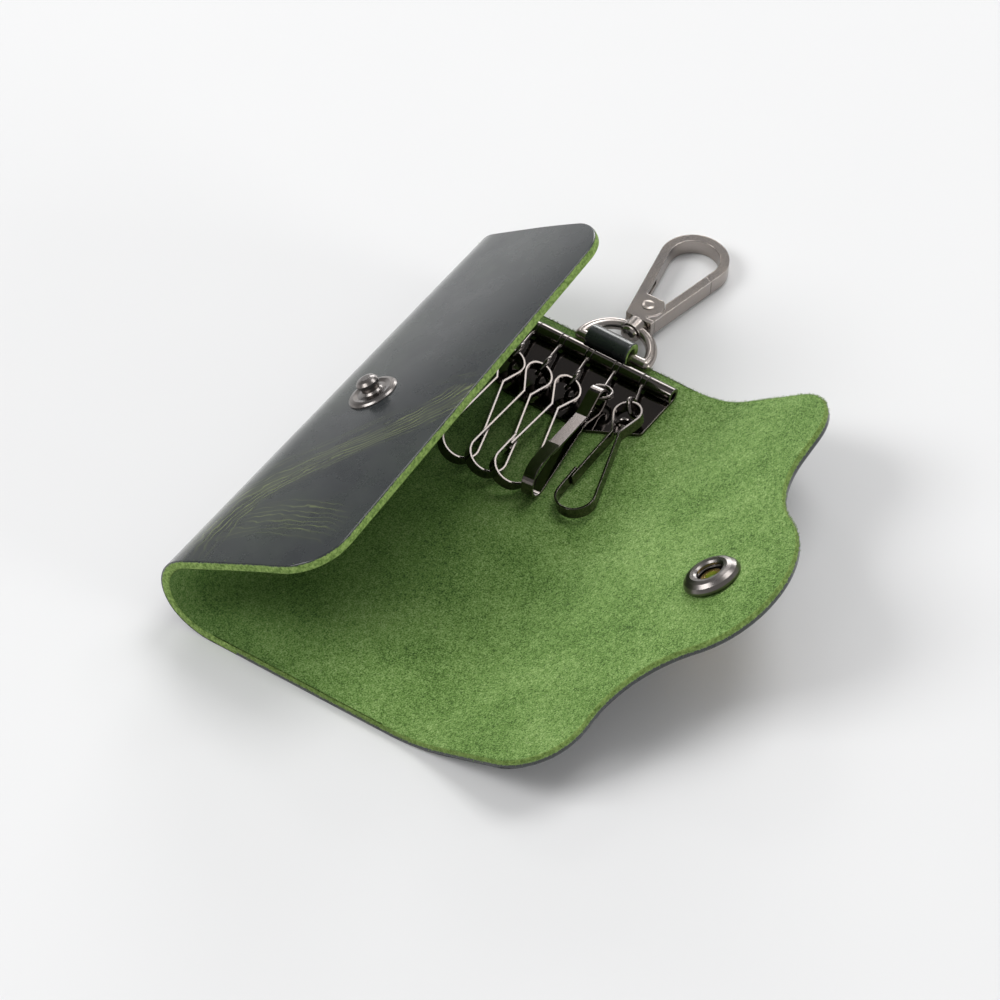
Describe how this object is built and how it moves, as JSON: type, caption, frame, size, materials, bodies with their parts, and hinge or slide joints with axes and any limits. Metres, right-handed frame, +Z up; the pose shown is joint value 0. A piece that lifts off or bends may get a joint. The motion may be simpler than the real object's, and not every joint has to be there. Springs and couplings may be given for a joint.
{
  "type": "key case",
  "caption": "Folding leather key case lying open, with a row of spring key hooks on a plate, a flap with a snap, and a swivel clasp on a strap.",
  "frame": {"origin": "on the underside of the back panel, the flat face that the open case lies on, midway along the fold", "axes": "+X along the fold towards the clasp, +Y from the flap towards the fold, +Z up"},
  "size_m": [0.1444, 0.1071, 0.0394],
  "materials": {
    "leather_grain": "waxed grain, semi-gloss",
    "leather_suede": "suede flesh side, matt",
    "snap_metal": "gunmetal, satin",
    "black_nickel": "black nickel, polished",
    "clasp_metal": "gunmetal, satin",
    "spring_wire": "bright wire",
    "brass": "bright brass"
  },
  "bodies": {
    "back": {"back_panel": "leather_suede", "cover_fold": "leather_grain", "flap_fold": "leather_suede", "hook_plate": "black_nickel", "hook_rod": "black_nickel", "plate_rivets": "black_nickel", "rivet_caps": "black_nickel", "clasp_strap": "leather_grain"},
    "cover": {"cover_panel": "leather_grain", "snap_stud": "snap_metal", "stud_post": "snap_metal"},
    "flap": {"flap_panel": "leather_suede", "snap_socket": "snap_metal", "socket_spring": "spring_wire", "socket_cap": "brass"},
    "ring": {"clasp_ring": "clasp_metal"},
    "clasp": {"swivel_post": "clasp_metal", "clasp_body": "clasp_metal", "gate_pin": "clasp_metal", "gate_spring": "spring_wire"},
    "gate": {"clasp_gate": "clasp_metal"},
    "link_1": {"link_1": "black_nickel"},
    "hook_1": {"hook_1": "black_nickel"},
    "link_2": {"link_2": "black_nickel"},
    "hook_2": {"hook_2": "black_nickel"},
    "link_3": {"link_3": "black_nickel"},
    "hook_3": {"hook_3": "black_nickel"},
    "link_4": {"link_4": "black_nickel"},
    "hook_4": {"hook_4": "black_nickel"},
    "link_5": {"link_5": "black_nickel"},
    "hook_5": {"hook_5": "black_nickel"}
  },
  "joints": [
    {"name": "cover_fold_hinge", "type": "hinge", "parent": "back", "child": "cover", "pos_m": [0, 0.0219, 0.0102], "axis": [-1, 0, 0], "range_deg": [-30, 120], "deforming": ["cover_fold"]},
    {"name": "flap_fold_hinge", "type": "hinge", "parent": "back", "child": "flap", "pos_m": [0, -0.0276, 0.0014], "axis": [-1, 0, 0], "range_deg": [-20, 79], "deforming": ["flap_fold"]},
    {"name": "link_1_swing", "type": "hinge", "parent": "back", "child": "link_1", "pos_m": [0.0488, 0.0135, 0.00365], "axis": [0, 1, 0], "range_deg": [0, 20]},
    {"name": "hook_1_sway", "type": "hinge", "parent": "link_1", "child": "hook_1", "pos_m": [0.0395, 0.0123, 0.00563], "axis": [-0.0548, 0.4273, -0.9024], "range_deg": [0, 10]},
    {"name": "link_2_swing", "type": "hinge", "parent": "back", "child": "link_2", "pos_m": [0.0488, 0.007, 0.00365], "axis": [0, 1, 0], "range_deg": [0, 20]},
    {"name": "hook_2_sway", "type": "hinge", "parent": "link_2", "child": "hook_2", "pos_m": [0.0395, 0.00579, 0.00563], "axis": [-0.0548, 0.4273, -0.9024], "range_deg": [0, 10]},
    {"name": "link_3_swing", "type": "hinge", "parent": "back", "child": "link_3", "pos_m": [0.0488, 0.0005, 0.00365], "axis": [0, 1, 0], "range_deg": [0, 20]},
    {"name": "hook_3_sway", "type": "hinge", "parent": "link_3", "child": "hook_3", "pos_m": [0.03957, -0.0011, 0.00561], "axis": [-0.0493, 0.4277, -0.9026], "range_deg": [0, 10]},
    {"name": "link_4_swing", "type": "hinge", "parent": "back", "child": "link_4", "pos_m": [0.0488, -0.006, 0.00365], "axis": [0, 1, 0], "range_deg": [0, 60]},
    {"name": "hook_4_sway", "type": "hinge", "parent": "link_4", "child": "hook_4", "pos_m": [0.03973, -0.00786, 0.006], "axis": [-0.0837, 0.9965, 0], "range_deg": [0, 35]},
    {"name": "link_5_swing", "type": "hinge", "parent": "back", "child": "link_5", "pos_m": [0.0488, -0.0125, 0.00365], "axis": [0, 1, 0], "range_deg": [0, 110]},
    {"name": "hook_5_sway", "type": "hinge", "parent": "link_5", "child": "hook_5", "pos_m": [0.03991, -0.01526, 0.00554], "axis": [0.07, -0.131, -0.9889], "range_deg": [-18, 2]},
    {"name": "ring_swing", "type": "hinge", "parent": "back", "child": "ring", "pos_m": [0.0527, -0.002, 0.00355], "axis": [0, -1, 0], "range_deg": [0, 75]},
    {"name": "clasp_swivel", "type": "hinge", "parent": "ring", "child": "clasp", "pos_m": [0.06164, -0.002, 0.00316], "axis": [0.999, 0, -0.0436], "continuous": true},
    {"name": "gate_hinge", "type": "hinge", "parent": "clasp", "child": "gate", "pos_m": [0.06628, -0.0015, 0.00296], "axis": [0.0436, 0, 0.999], "range_deg": [0, 22], "stiffness_Nm_per_rad": 0.008, "springref_deg": -20.05}
  ],
  "couplings": [
    {"joint": "link_2_swing", "follows": "link_1_swing", "ratio": 1},
    {"joint": "link_3_swing", "follows": "link_1_swing", "ratio": 1}
  ]
}
